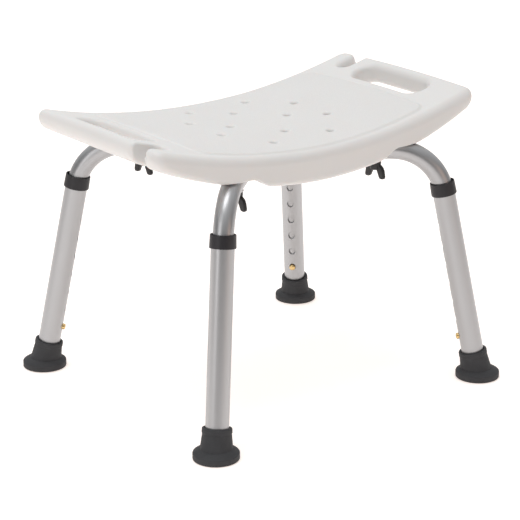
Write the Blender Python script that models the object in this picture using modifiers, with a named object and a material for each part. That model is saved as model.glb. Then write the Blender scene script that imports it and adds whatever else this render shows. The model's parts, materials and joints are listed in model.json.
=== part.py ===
"""Height-adjustable bath stool: a moulded seat on two crossed aluminium tubes with four telescopic legs.

Units are metres, +Z is up, X runs along the seat, and the origin is on the floor under the seat's centre.
"""

import math

import bmesh
import bpy
from mathutils import Matrix, Vector

COLLECTION = "bath_stool"
CUTTERS = "cutters"
GAP = 0.0003                     # clearance between two touching parts
WELD = 0.00001                   # points closer than this are one point
CUT_PAST = 0.0100                # how far a cutter runs past what it cuts
FLAT_ANGLE = math.radians(0.5)   # faces closer to level than this are one face
SMOOTH_ANGLE = 35                # edges sharper than this stay sharp, in degrees
SEAT_SMOOTH_ANGLE = 30

# Leg layout
FOOT_RADIUS = 0.2853             # floor distance from the centre to each leg's axis
DIAGONAL = math.radians(41.86)   # angle of a leg's vertical plane from the X axis
LEAN = math.radians(11.26)       # lean of a leg from the vertical
CORNERS = {
    "front_left": (-1, -1),
    "front_right": (1, -1),
    "rear_left": (-1, 1),
    "rear_right": (1, 1),
}

# Upper tubes, each running from one leg across to the opposite one
UPPER_R = 0.0127
UPPER_WALL = 0.0015
RUN_Z = 0.3056                   # height of the level run's centre line
RUN_SPAN = (RUN_Z - 2 * UPPER_R, RUN_Z + 2 * UPPER_R)
BEND_START = 0.2575              # distance along the leg from the floor to the bend
UPPER_END = 0.037                # distance along the leg from the floor to the tube's lower end
TUBE_SIDES = 16
BEND_STEPS = 7
LAP_HALF_WIDTH = 0.0165          # pressed lap where the two tubes cross
LAP_HALF_HEIGHT = 0.00535
LAP_FLAT = 0.017
LAP_FADE = 0.045
LAP_STEPS = 4
LAP_OFFSET = LAP_HALF_HEIGHT + GAP

# Lower tubes
LOWER_R = 0.0143
LOWER_BORE = 0.0130
LOWER_START = 0.0093
LOWER_END = BEND_START
ROUND_STEPS = 16
HOLE_PITCH = 0.0254
HOLE_COUNT = 7
HOLE_R = 0.0045
HOLE_SIDES = 8
SMALL_STEPS = 12                 # sides of pins and buttons
BUTTON_S = 0.0590                # distance along the leg from the floor to the locked hole

# Collars
COLLAR_START = 0.2525
COLLAR_END = 0.2691
COLLAR_R = 0.0163
COLLAR_LIP_R = 0.0145            # wide enough for the start of the bend
COLLAR_EDGE = 0.0012

# Feet
FLANGE_R = 0.0285
FLANGE_EDGE = 0.0078
FLANGE_ROUND = 0.0015
CREASE_Z = 0.0128
CUP_TOP = 0.0372
CUP_TOP_R = 0.0183
CUP_LOW_R = 0.0198
CUP_EDGE = 0.0010
CUP_LIP = 0.0050
CUP_ROOT = 0.0068
CUP_BORE_FLOOR = 0.0072
FOOT_WASHER_R = 0.0135
FOOT_WASHER_HOLE = 0.0040
FOOT_WASHER_T = 0.0015

# Snap buttons and their springs
BUTTON_R = 0.0040
BUTTON_INNER = 0.0102
BUTTON_OUTER = 0.0182
BUTTON_DOME = 0.0015
SPRING_WIDTH = 0.0080
SPRING_T = 0.0006
SPRING_ARM = 0.0096
SPRING_LOOP = 0.0420             # height of the loop above the button
SPRING_LOOP_R = 0.0030

# Clamping screws
SCREW_RADIUS = 0.148             # distance from the centre to each screw's axis
STUD_R = 0.0030
STUD_LOW = 0.2800
STUD_HIGH = 0.3315
SCREW_HOLE_R = 0.0035
WASHER_T = 0.0015
WASHER_R = 0.0085
KNOB_HUB_R = 0.0075
KNOB_HEIGHT = 0.0120
KNOB_EDGE = 0.0010
KNOB_SKIRT = 0.0030
WING_SPAN = 0.0160
WING_START = 0.0040              # how far below the head's top the wings begin
WING_ROUND = 0.0015
WING_DROP = 0.0228
WING_FOOT = 0.0070               # width of a wing along its foot
WING_T = 0.0050
KNOB_TURN = math.radians(-84)    # how the tightened knobs point
INSERT_R = 0.0055
INSERT_LOW = 0.3206
INSERT_HIGH = 0.3330
INSERT_BORE = 0.0033

# Centre bolt
BOLT_R = 0.0030
BOLT_HOLE_R = 0.0034
BOLT_HEAD_R = 0.0058
BOLT_HEAD_H = 0.0040
NUT_H = 0.0048
BOLT_WASHER_T = 0.0010
HEX = 6

# Seat
SEAT_HALF_LENGTH = 0.2510
SEAT_HALF_WIDTH = 0.1402         # at the middle of the long sides
SEAT_SIDE_BOW = 0.0065           # how much narrower the ends are, on each side
SEAT_END_BOW = 0.0010
SEAT_CORNER_R = 0.0160
SEAT_CORNER_SPAN = (1.5, 86.0)   # degrees of arc, meeting the bowed sides
SIDE_STEPS = 5
SEAT_TOP_Z = 0.3368
SEAT_TOP_RISE = 0.0375
SEAT_CROWN = 0.0028
SEAT_RIM_Z = 0.2945
SEAT_RIM_RISE = 0.0536
SEAT_UNDER_Z = 0.3208
SEAT_UNDER_RISE = 0.0345
SEAT_WALL = 0.0030
SEAT_ROLL = 0.0120               # rounding of the upper edge
SEAT_LOW_ROLL = 0.0070
SEAT_ROLL_STEPS = 3
SEAT_SLICE = 0.0340              # spacing of the cross cuts that let the seat curve
SLICE_NEAR = 0.000001
POCKET_HALF_LENGTH = 0.1860
POCKET_HALF_WIDTH = 0.1182
POCKET_CORNER_R = 0.0150
SLOT_INNER_X = 0.1945
SLOT_OUTER_X = 0.2310
SLOT_LOW_Y = -0.0715
SLOT_HIGH_Y = 0.0560
SLOT_CORNER_R = 0.0160
HOLDER_WIDTH = 0.0200
HOLDER_END_X = 0.2200
HOLDER_Y = 0.0895
DRAIN_R = 0.0042
DRAIN_SIDES = 8
DRAIN_QUARTER = ((0.0450, 0.0875), (0.0838, 0.0338), (0.0, 0.0530), (0.0456, 0.0))
NOTCH_INNER_X = 0.0935
NOTCH_OUTER_X = 0.1560
NOTCH_FLANK = 0.0170              # how far the sloping flank runs along the rim
NOTCH_FLANK_Z = 0.3040
NOTCH_LEAD = 0.0090
NOTCH_REACH = 0.1192
NOTCH_TOP_Z = 0.3145
BOSS_R = 0.0180
BOSS_LOW_Z = 0.3135
BOSS_HIGH_Z = 0.3300
VENT_X = 0.1150
VENT_R = 0.0035
VENT_TOP_Z = 0.3330              # inside the hollow, below the top skin
CHANNEL_GAP = 0.0008              # clearance round the upper tubes
CHANNEL_SMOOTH = 6
CENTRE_RECESS_R = 0.0100
CENTRE_RECESS_Z = 0.3275

MATERIALS = {
    "seat_plastic": ((0.80, 0.78, 0.76), 0.45, 0.0),
    "anodised_aluminium": ((0.62, 0.63, 0.64), 0.32, 1.0),
    "black_plastic": ((0.025, 0.025, 0.028), 0.45, 0.0),
    "grey_rubber": ((0.075, 0.078, 0.082), 0.75, 0.0),
    "brass": ((0.72, 0.52, 0.25), 0.30, 1.0),
    "steel": ((0.55, 0.56, 0.58), 0.35, 1.0),
}


# ---------------------------------------------------------------- scene and materials

def clear_scene():
    for item in list(bpy.context.scene.objects):
        bpy.data.objects.remove(item, do_unlink=True)


def collection(name):
    found = bpy.data.collections.get(name) or bpy.data.collections.new(name)
    if name not in bpy.context.scene.collection.children:
        bpy.context.scene.collection.children.link(found)
    return found


def material(name):
    found = bpy.data.materials.get(name)
    if found:
        return found
    colour, roughness, metallic = MATERIALS[name]
    made = bpy.data.materials.new(name)
    made.use_nodes = True
    shader = made.node_tree.nodes["Principled BSDF"]
    shader.inputs["Base Color"].default_value = (*colour, 1.0)
    shader.inputs["Roughness"].default_value = roughness
    shader.inputs["Metallic"].default_value = metallic
    return made


def add_object(name, mesh, where=COLLECTION):
    item = bpy.data.objects.new(name, mesh)
    collection(where).objects.link(item)
    return item


def finish(item, slot, smooth_angle=SMOOTH_ANGLE):
    item.data.materials.clear()
    item.data.materials.append(material(slot))
    item.data.shade_smooth()
    item.data.set_sharp_from_angle(angle=math.radians(smooth_angle))
    return item


def as_mesh(item):
    """Replace an object by a plain mesh object of its evaluated shape."""
    graph = bpy.context.evaluated_depsgraph_get()
    mesh = bpy.data.meshes.new_from_object(item.evaluated_get(graph))
    bm = bmesh.new()
    bm.from_mesh(mesh)
    bmesh.ops.remove_doubles(bm, verts=bm.verts, dist=WELD)
    bm.to_mesh(mesh)
    bm.free()
    name = item.name
    matrix = item.matrix_world.copy()
    group = item.users_collection[0]
    bpy.data.objects.remove(item, do_unlink=True)
    made = bpy.data.objects.new(name, mesh)
    group.objects.link(made)
    made.matrix_world = matrix
    return made


def apply_matrix(item):
    item.data.transform(item.matrix_world)
    item.matrix_world = Matrix.Identity(4)
    return item


def combine(target, cutters, operation="DIFFERENCE"):
    """Cut the cutters from the target, or join them to it, and remove them."""
    for cutter in cutters:
        step = target.modifiers.new(operation.lower(), "BOOLEAN")
        step.operation = operation
        step.solver = "EXACT"
        step.object = cutter
    bpy.context.view_layer.update()
    made = as_mesh(target)
    for cutter in cutters:
        bpy.data.objects.remove(cutter, do_unlink=True)
    return made


# ---------------------------------------------------------------- basic shapes

def cylinder(name, radius, low, high, sides=ROUND_STEPS, radius_high=None, where=CUTTERS):
    """A round bar along Z between two heights."""
    mesh = bpy.data.meshes.new(name)
    bm = bmesh.new()
    bmesh.ops.create_cone(
        bm,
        cap_ends=True,
        segments=sides,
        radius1=radius,
        radius2=radius if radius_high is None else radius_high,
        depth=high - low,
        matrix=Matrix.Translation((0, 0, (low + high) / 2)),
    )
    bm.to_mesh(mesh)
    bm.free()
    item = add_object(name, mesh, where)
    return hide_cutter(item) if where == CUTTERS else item


def hide_cutter(item):
    item.display_type = "WIRE"
    item.hide_render = True
    return item


def turned(name, profile, steps=ROUND_STEPS, where=COLLECTION):
    """Turn a closed profile of (radius, height) points, listed down its outer side first, about Z."""
    mesh = bpy.data.meshes.new(name)
    points = [(radius, 0.0, height) for radius, height in profile]
    edges = [(i, (i + 1) % len(points)) for i in range(len(points))]
    mesh.from_pydata(points, edges, [])
    item = add_object(name, mesh, where)
    screw = item.modifiers.new("turn", "SCREW")
    screw.steps = steps
    screw.render_steps = steps
    screw.use_merge_vertices = True
    screw.merge_threshold = WELD
    bpy.context.view_layer.update()
    return as_mesh(item)


def ring(name, outer, inner, low, high, where=COLLECTION):
    return turned(name, [(outer, high), (outer, low), (inner, low), (inner, high)], where=where)


def extruded(name, outline, low, high, where=CUTTERS):
    """A flat outline of (x, y) points, extruded between two heights."""
    curve = bpy.data.curves.new(name, "CURVE")
    curve.dimensions = "2D"
    curve.fill_mode = "BOTH"
    curve.extrude = (high - low) / 2
    line = curve.splines.new("POLY")
    line.points.add(len(outline) - 1)
    for point, (x, y) in zip(line.points, outline):
        point.co = (x, y, 0.0, 1.0)
    line.use_cyclic_u = True
    item = add_object(name, curve, where)
    item.location.z = (low + high) / 2
    bpy.context.view_layer.update()
    made = apply_matrix(as_mesh(item))
    bm = bmesh.new()
    bm.from_mesh(made.data)
    bmesh.ops.dissolve_limit(bm, angle_limit=FLAT_ANGLE, verts=bm.verts, edges=bm.edges)
    bmesh.ops.recalc_face_normals(bm, faces=bm.faces)
    bm.to_mesh(made.data)
    bm.free()
    return hide_cutter(made) if where == CUTTERS else made


def arc(centre, radius, start, end, steps):
    """Points on an arc, with its angles in degrees."""
    angles = [math.radians(start + (end - start) * i / steps) for i in range(steps + 1)]
    return [(centre[0] + radius * math.cos(a), centre[1] + radius * math.sin(a)) for a in angles]


def rounded_box_outline(low, high, radius, steps=4):
    (x0, y0), (x1, y1) = low, high
    corners = [((x1, y1), 0), ((x0, y1), 90), ((x0, y0), 180), ((x1, y0), 270)]
    points = []
    for (x, y), start in corners:
        centre_x = x - math.copysign(radius, x - (x0 + x1) / 2)
        centre_y = y - math.copysign(radius, y - (y0 + y1) / 2)
        centre = (centre_x, centre_y)
        points += arc(centre, radius, start, start + 90, steps)
    return points


# ---------------------------------------------------------------- leg frames and tube paths

def leg_frame(corner):
    """World matrix of a leg: local Z runs up the leg's axis from the floor, local +X faces outwards."""
    side_x, side_y = CORNERS[corner]
    outward = Vector((side_x * math.cos(DIAGONAL), side_y * math.sin(DIAGONAL), 0))
    up = Vector((0, 0, math.cos(LEAN))) - outward * math.sin(LEAN)
    across = up.cross(outward * math.cos(LEAN) + Vector((0, 0, math.sin(LEAN))))
    local_x = across.cross(up)
    matrix = Matrix((local_x, across, up)).transposed().to_4x4()
    matrix.translation = outward * FOOT_RADIUS
    return matrix


def half_path():
    """The (radius, height) points of a tube's centre line, from one leg's lower end to the lap's edge."""
    turn = math.pi / 2 - LEAN
    meet = RUN_Z / math.cos(LEAN)
    tangent = meet - BEND_START
    bend_r = tangent / math.tan(turn / 2)
    points = []
    for along in (UPPER_END, BEND_START):
        points.append((FOOT_RADIUS - along * math.sin(LEAN), along * math.cos(LEAN)))
    centre = (FOOT_RADIUS - meet * math.sin(LEAN) - tangent, RUN_Z - bend_r)
    for i in range(1, BEND_STEPS + 1):
        angle = LEAN + turn * i / BEND_STEPS
        points.append((centre[0] + bend_r * math.cos(angle), centre[1] + bend_r * math.sin(angle)))
    return points


def tube_stations(lap_side):
    """Stations along a whole upper tube: (radius, height, tilt, half width, half height)."""
    path = half_path()
    turn = math.pi / 2 - LEAN
    half = []
    for i, (radius, height) in enumerate(path):
        tilt = LEAN if i < 2 else LEAN + turn * (i - 1) / BEND_STEPS
        half.append((radius, height, tilt, UPPER_R, UPPER_R))
    for i in range(LAP_STEPS):
        press = i / (LAP_STEPS - 1)
        ease = press * press * (3 - 2 * press)
        half.append((
            LAP_FADE + (LAP_FLAT - LAP_FADE) * press,
            RUN_Z + lap_side * LAP_OFFSET * ease,
            math.pi / 2,
            UPPER_R + (LAP_HALF_WIDTH - UPPER_R) * ease,
            UPPER_R + (LAP_HALF_HEIGHT - UPPER_R) * ease,
        ))
    other = [(-radius, height, math.pi - tilt, wide, tall) for radius, height, tilt, wide, tall in half]
    return half + other[::-1]


def station_ring(station, side_x, side_y, inset, sides):
    """World points of one section of an upper tube, drawn in by the inset."""
    radius, height, tilt, wide, tall = station
    along = Vector((side_x * math.cos(DIAGONAL), side_y * math.sin(DIAGONAL), 0))
    across = Vector((-along.y, along.x, 0))
    outer_way = along * math.cos(tilt) + Vector((0, 0, math.sin(tilt)))
    centre = along * radius + Vector((0, 0, height))
    points = []
    for i in range(sides):
        angle = 2 * math.pi * i / sides
        sideways = across * (wide - inset) * math.cos(angle)
        outwards = outer_way * (tall - inset) * math.sin(angle)
        points.append(centre + sideways + outwards)
    return points


def upper_tube(name, corner, lap_side):
    """A hollow tube from one leg, over the middle, to the opposite leg, pressed flat where it is crossed."""
    side_x, side_y = CORNERS[corner]
    bm = bmesh.new()
    walls = []
    for inset in (0.0, UPPER_WALL):
        rings = []
        for station in tube_stations(lap_side):
            points = station_ring(station, side_x, side_y, inset, TUBE_SIDES)
            rings.append([bm.verts.new(point) for point in points])
        walls.append(rings)
    for rings in walls:
        for first, second in zip(rings, rings[1:]):
            for i in range(TUBE_SIDES):
                j = (i + 1) % TUBE_SIDES
                bm.faces.new((first[i], first[j], second[j], second[i]))
    for end in (0, -1):
        outer = walls[0][end]
        inner = walls[1][end]
        for i in range(TUBE_SIDES):
            j = (i + 1) % TUBE_SIDES
            bm.faces.new((outer[i], outer[j], inner[j], inner[i]))
    bmesh.ops.recalc_face_normals(bm, faces=bm.faces)
    mesh = bpy.data.meshes.new(name)
    bm.to_mesh(mesh)
    bm.free()
    tube = add_object(name, mesh)
    cutters = [hole for side in (1, -1) for hole in tube_end_cutters(corner, side)]
    cutters.append(cylinder("cut_bolt", BOLT_HOLE_R, *RUN_SPAN, sides=SMALL_STEPS))
    return finish(combine(tube, cutters), "anodised_aluminium")


def opposite(corner):
    side_x, side_y = CORNERS[corner]
    return next(name for name, sides in CORNERS.items() if sides == (-side_x, -side_y))


def tube_end_cutters(corner, side):
    """The button hole and the screw hole near one end of an upper tube."""
    here = corner if side > 0 else opposite(corner)
    button = cylinder("cut_button", HOLE_R, UPPER_R / 2, LOWER_R, sides=HOLE_SIDES)
    button.matrix_world = leg_frame(here) @ button_way()
    screw = cylinder("cut_screw", SCREW_HOLE_R, *RUN_SPAN, sides=HOLE_SIDES)
    screw.matrix_world = Matrix.Translation(screw_place(here))
    return [button, screw]


def button_way(along=BUTTON_S):
    """Leg-local matrix whose Z points from the leg's axis towards the stool's centre, at a hole's height."""
    return Matrix.Translation((0, 0, along)) @ Matrix.Rotation(-math.pi / 2, 4, "Y")


def screw_place(corner):
    side_x, side_y = CORNERS[corner]
    return Vector((side_x * SCREW_RADIUS * math.cos(DIAGONAL), side_y * SCREW_RADIUS * math.sin(DIAGONAL), 0))


# ---------------------------------------------------------------- legs

def lower_tube(corner):
    tube = ring(f"lower_tube_{corner}", LOWER_R, LOWER_BORE, LOWER_START, LOWER_END)
    cutters = []
    for i in range(HOLE_COUNT):
        hole = cylinder("cut_hole", HOLE_R, LOWER_R / 2, LOWER_R + CUT_PAST, sides=HOLE_SIDES)
        hole.matrix_world = button_way(BUTTON_S + i * HOLE_PITCH)
        cutters.append(hole)
    return place_on_leg(finish(combine(tube, cutters), "anodised_aluminium"), corner)


def collar(corner):
    lip_low = LOWER_END + GAP
    over_lower = LOWER_R + GAP
    item = turned(f"collar_{corner}", [
        (COLLAR_LIP_R, COLLAR_END),
        (COLLAR_R - COLLAR_EDGE, COLLAR_END),
        (COLLAR_R - COLLAR_EDGE / 3, COLLAR_END - COLLAR_EDGE),
        (COLLAR_R, COLLAR_START + COLLAR_EDGE),
        (COLLAR_R - COLLAR_EDGE / 2, COLLAR_START),
        (over_lower, COLLAR_START),
        (over_lower, lip_low),
        (COLLAR_LIP_R, lip_low),
    ])
    return place_on_leg(finish(item, "black_plastic"), corner)


def foot(corner):
    """A rubber tip: a level flange, and a cup that leans with the leg."""
    matrix = leg_frame(corner)
    flange = turned("flange", [
        (0.0, CREASE_Z),
        (CUP_LOW_R, CREASE_Z),
        (FLANGE_R - FLANGE_ROUND, FLANGE_EDGE),
        (FLANGE_R, FLANGE_EDGE - FLANGE_ROUND),
        (FLANGE_R, FLANGE_ROUND),
        (FLANGE_R - FLANGE_ROUND, 0.0),
        (0.0, 0.0),
    ])
    flange.matrix_world = Matrix.Translation(matrix.translation)
    cup = turned("cup", [
        (0.0, CUP_TOP),
        (CUP_TOP_R - CUP_EDGE, CUP_TOP),
        (CUP_TOP_R, CUP_TOP - CUP_EDGE),
        (CUP_TOP_R, CUP_TOP - CUP_LIP),
        (CUP_LOW_R, CREASE_Z),
        (CUP_LOW_R, CUP_ROOT),
        (0.0, CUP_ROOT),
    ])
    cup.matrix_world = matrix
    bore = cylinder("cut_bore", LOWER_R + GAP, CUP_BORE_FLOOR, CUP_TOP + CUT_PAST)
    bore.matrix_world = matrix
    flange.name = f"foot_{corner}"
    made = combine(combine(flange, [cup], "UNION"), [bore])
    return finish(set_origin(apply_matrix(made), matrix.translation), "grey_rubber")


def foot_washer(corner):
    low = CUP_BORE_FLOOR + GAP
    item = ring(f"foot_washer_{corner}", FOOT_WASHER_R, FOOT_WASHER_HOLE, low, low + FOOT_WASHER_T)
    return place_on_leg(finish(item, "steel"), corner)


def snap_button(corner):
    item = turned(f"snap_button_{corner}", [
        (0.0, BUTTON_OUTER),
        (BUTTON_R - BUTTON_DOME, BUTTON_OUTER - BUTTON_DOME / 4),
        (BUTTON_R, BUTTON_OUTER - BUTTON_DOME),
        (BUTTON_R, BUTTON_INNER),
        (0.0, BUTTON_INNER),
    ], steps=SMALL_STEPS)
    item.matrix_world = leg_frame(corner) @ button_way()
    return finish(item, "brass")


def snap_spring(corner):
    """A bent strip inside the upper tube whose front arm carries the button."""
    half = SPRING_WIDTH / 2
    path = [(-SPRING_ARM, BUTTON_S - SPRING_WIDTH), (-SPRING_ARM, BUTTON_S + SPRING_WIDTH)]
    path += arc((0.0, BUTTON_S + SPRING_LOOP), SPRING_LOOP_R, 180, 0, 4)
    path += [(SPRING_ARM, BUTTON_S + half), (SPRING_ARM, BUTTON_S - half)]
    bm = bmesh.new()
    rows = []
    for y in (-half, half):
        rows.append([bm.verts.new((x, y, z)) for x, z in path])
    for i in range(len(path) - 1):
        bm.faces.new((rows[0][i], rows[0][i + 1], rows[1][i + 1], rows[1][i]))
    mesh = bpy.data.meshes.new("snap_spring")
    bm.to_mesh(mesh)
    bm.free()
    item = add_object(f"snap_spring_{corner}", mesh)
    shell = item.modifiers.new("thickness", "SOLIDIFY")
    shell.thickness = SPRING_T
    shell.offset = 0.0
    bpy.context.view_layer.update()
    return place_on_leg(finish(as_mesh(item), "steel"), corner)


def place_on_leg(item, corner):
    item.matrix_world = leg_frame(corner)
    return item


def set_origin(item, point):
    item.data.transform(Matrix.Translation(-Vector(point)))
    item.matrix_world = Matrix.Translation(point)
    return item


# ---------------------------------------------------------------- clamping screws

def wing_knob(corner):
    """A moulded head with two wings, below its washer, bored for the stud."""
    top = RUN_Z - UPPER_R - 2 * GAP - WASHER_T
    low = top - KNOB_HEIGHT
    hub = turned(f"wing_knob_{corner}", [
        (0.0, top),
        (KNOB_HUB_R, top),
        (KNOB_HUB_R, top - KNOB_SKIRT),
        (KNOB_HUB_R - KNOB_EDGE, low + KNOB_EDGE),
        (KNOB_HUB_R - 2 * KNOB_EDGE, low),
        (0.0, low),
    ])
    wing_low = top - WING_DROP
    inner = KNOB_HUB_R - KNOB_EDGE
    outline = [
        (0.0, low + 2 * KNOB_EDGE),
        (0.0, top - WING_START),
        (inner, top - WING_START),
        (WING_SPAN - 2 * WING_ROUND, top - 2 * WING_START),
        (WING_SPAN - WING_ROUND, top - WING_START - KNOB_HUB_R),
        (WING_SPAN, wing_low + 2 * WING_ROUND),
        (WING_SPAN - WING_ROUND, wing_low),
        (WING_SPAN - WING_FOOT, wing_low),
        (KNOB_HUB_R / 2, low),
    ]
    wings = []
    for side in (1, -1):
        wing = extruded(f"wing_{side}", [(side * x, z) for x, z in outline], -WING_T / 2, WING_T / 2)
        wing.matrix_world = Matrix.Rotation(math.pi / 2, 4, "X")
        wings.append(apply_matrix(wing))
    bore = cylinder("cut_stud", STUD_R + GAP, STUD_LOW - GAP, top + CUT_PAST)
    made = combine(combine(hub, wings, "UNION"), [bore])
    turn = Matrix.Rotation(KNOB_TURN, 4, "Z")
    made.matrix_world = Matrix.Translation(screw_place(corner)) @ turn
    return finish(made, "black_plastic")


def place_on_screw(item, corner):
    item.matrix_world = Matrix.Translation(screw_place(corner))
    return item


def screw_stack(corner):
    washer_high = RUN_Z - UPPER_R - GAP
    stud = cylinder(f"knob_stud_{corner}", STUD_R, STUD_LOW, STUD_HIGH, where=COLLECTION)
    place_on_screw(finish(stud, "steel"), corner)
    washer = ring(f"knob_washer_{corner}", WASHER_R, SCREW_HOLE_R, washer_high - WASHER_T, washer_high)
    place_on_screw(finish(washer, "steel"), corner)
    insert = ring(f"seat_insert_{corner}", INSERT_R, INSERT_BORE, INSERT_LOW, INSERT_HIGH)
    place_on_screw(finish(insert, "brass"), corner)
    wing_knob(corner)


def centre_fixing():
    low = RUN_Z - LAP_OFFSET - LAP_HALF_HEIGHT - GAP
    high = RUN_Z + LAP_OFFSET + LAP_HALF_HEIGHT + GAP
    nut_low = high + BOLT_WASHER_T + GAP
    head = cylinder("centre_bolt", BOLT_HEAD_R, low - BOLT_HEAD_H, low, sides=HEX, where=COLLECTION)
    shank = cylinder("shank", BOLT_R, low - BOLT_HEAD_H / 2, nut_low + NUT_H + BOLT_WASHER_T)
    finish(combine(head, [shank], "UNION"), "steel")
    finish(ring("centre_washer", WASHER_R, BOLT_HOLE_R, high, high + BOLT_WASHER_T), "steel")
    nut = cylinder("centre_nut", BOLT_HEAD_R, nut_low, nut_low + NUT_H, sides=HEX, where=COLLECTION)
    bore = cylinder("cut_nut", BOLT_R + GAP, nut_low - CUT_PAST, nut_low + NUT_H + CUT_PAST)
    finish(combine(nut, [bore]), "steel")


# ---------------------------------------------------------------- seat

def seat_outline(inset=0.0, steps=5):
    """Plan of the seat: bowed sides joined by round corners, drawn in by the inset."""
    length = SEAT_HALF_LENGTH - inset
    width = SEAT_HALF_WIDTH - inset
    radius = SEAT_CORNER_R - inset
    corner = (length - SEAT_END_BOW - radius, width - SEAT_SIDE_BOW - radius)
    quarter = [(length, 0.0)]
    quarter += arc(corner, radius, *SEAT_CORNER_SPAN, steps)
    for i in range(SIDE_STEPS - 1, 0, -1):
        x = corner[0] * i / SIDE_STEPS
        quarter.append((x, width - SEAT_SIDE_BOW * (x / corner[0]) ** 2))
    quarter.append((0.0, width))
    left = [(-x, y) for x, y in quarter[::-1][1:]]
    upper = quarter + left
    lower = [(-x, -y) for x, y in upper[1:]]
    return upper + lower[:-1]


def pocket_outline(grow):
    length = POCKET_HALF_LENGTH + grow
    width = POCKET_HALF_WIDTH + grow
    return rounded_box_outline((-length, -width), (length, width), POCKET_CORNER_R, steps=3)


def slot_outline(side, grow):
    low = (SLOT_INNER_X - grow, SLOT_LOW_Y - grow)
    high = (SLOT_OUTER_X + grow, SLOT_HIGH_Y + grow)
    points = rounded_box_outline(low, high, SLOT_CORNER_R + grow)
    return [(side * x, side * y) for x, y in points]


def holder_outline(side, grow):
    """A slot with a round inner end that opens through the end of the seat."""
    radius = HOLDER_WIDTH / 2 + grow
    mouth_x = SEAT_HALF_LENGTH + CUT_PAST
    points = arc((HOLDER_END_X, HOLDER_Y), radius, 90, 270, 8)
    points += [(mouth_x, HOLDER_Y - radius), (mouth_x, HOLDER_Y + radius)]
    return [(side * x, side * y) for x, y in points]


def drain_places():
    """The centres of the drain holes: a pattern that is the same in all four quarters."""
    places = {(sx * x, sy * y) for x, y in DRAIN_QUARTER for sx in (1, -1) for sy in (1, -1)}
    return sorted(places)


def rounded_slab(name, outline, low, high, low_roll, high_roll):
    """An extruded outline with its lower and upper edges rounded."""
    item = extruded(name, outline, low, high, where=COLLECTION)
    weights = item.data.attributes.new("bevel_weight_edge", "FLOAT", "EDGE")
    for edge in item.data.edges:
        heights = [item.data.vertices[v].co.z for v in edge.vertices]
        if max(heights) < low + GAP:
            weights.data[edge.index].value = low_roll / high_roll
        elif min(heights) > high - GAP:
            weights.data[edge.index].value = 1.0
    bevel = item.modifiers.new("roll", "BEVEL")
    bevel.limit_method = "WEIGHT"
    bevel.width = high_roll
    bevel.segments = SEAT_ROLL_STEPS
    bpy.context.view_layer.update()
    return as_mesh(item)


def curved_height(x, y, z):
    """Height on the finished seat of a point of the flat seat, whose rim, underside and top are level."""
    rise = (x / SEAT_HALF_LENGTH) ** 2
    rim = SEAT_RIM_Z + SEAT_RIM_RISE * rise
    under = SEAT_UNDER_Z + SEAT_UNDER_RISE * rise
    top = SEAT_TOP_Z + SEAT_TOP_RISE * rise - SEAT_CROWN * (y / SEAT_HALF_WIDTH) ** 2
    flat_under, flat_top = SEAT_UNDER_Z - SEAT_RIM_Z, SEAT_TOP_Z - SEAT_RIM_Z
    if z < flat_under:
        return rim + (under - rim) * z / flat_under
    return under + (top - under) * (z - flat_under) / (flat_top - flat_under)


def slice_and_curve(item):
    """Cut the flat seat across every few centimetres, then lift each point to its place on the curve."""
    bm = bmesh.new()
    bm.from_mesh(item.data)
    count = int(SEAT_HALF_LENGTH / SEAT_SLICE)
    for i in range(-count, count + 1):
        geometry = bm.verts[:] + bm.edges[:] + bm.faces[:]
        place = (i * SEAT_SLICE, 0, 0)
        bmesh.ops.bisect_plane(bm, geom=geometry, dist=SLICE_NEAR, plane_co=place, plane_no=(1, 0, 0))
    bmesh.ops.triangulate(bm, faces=bm.faces)
    for vertex in bm.verts:
        vertex.co.z = curved_height(*vertex.co)
    bm.to_mesh(item.data)
    bm.free()
    return item


def tube_channel(name, corner, radius):
    """A solid bar along an upper tube's centre line, wide enough to clear it."""
    side_x, side_y = CORNERS[corner]
    curve = bpy.data.curves.new(name, "CURVE")
    curve.dimensions = "3D"
    curve.bevel_depth = radius
    curve.bevel_resolution = CHANNEL_SMOOTH
    curve.use_fill_caps = True
    path = half_path()
    stations = path[1:] + [(-r, z) for r, z in path[1:][::-1]]
    line = curve.splines.new("POLY")
    line.points.add(len(stations) - 1)
    for point, (r, z) in zip(line.points, stations):
        point.co = (side_x * math.cos(DIAGONAL) * r, side_y * math.sin(DIAGONAL) * r, z, 1.0)
    item = add_object(name, curve, CUTTERS)
    bpy.context.view_layer.update()
    made = as_mesh(item)
    bm = bmesh.new()
    bm.from_mesh(made.data)
    bmesh.ops.recalc_face_normals(bm, faces=bm.faces)
    bm.to_mesh(made.data)
    bm.free()
    return hide_cutter(made)


def notch(side_x, side_y, grow):
    """The notch in the rim beside a tube: level on top, with one sloping flank."""
    top = NOTCH_TOP_Z + grow
    low = SEAT_RIM_Z - CUT_PAST
    inner = NOTCH_INNER_X - grow
    outline = [
        (inner - NOTCH_LEAD, low),
        (inner, NOTCH_FLANK_Z),
        (inner + NOTCH_FLANK, top),
        (NOTCH_OUTER_X + grow, top),
        (NOTCH_OUTER_X + grow, low),
    ]
    reach = (NOTCH_REACH, SEAT_HALF_WIDTH + CUT_PAST)
    item = extruded("notch", [(side_x * x, z) for x, z in outline], *reach)
    item.matrix_world = Matrix.Rotation(math.pi / 2, 4, "X")
    apply_matrix(item)
    if side_y > 0:
        item.matrix_world = Matrix.Diagonal((1, -1, 1, 1))
        apply_matrix(item)
        item.data.flip_normals()
    return item


def screw_column(corner, radius, low, high, name="column"):
    return place_on_screw(cylinder(name, radius, low, high), corner)


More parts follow.
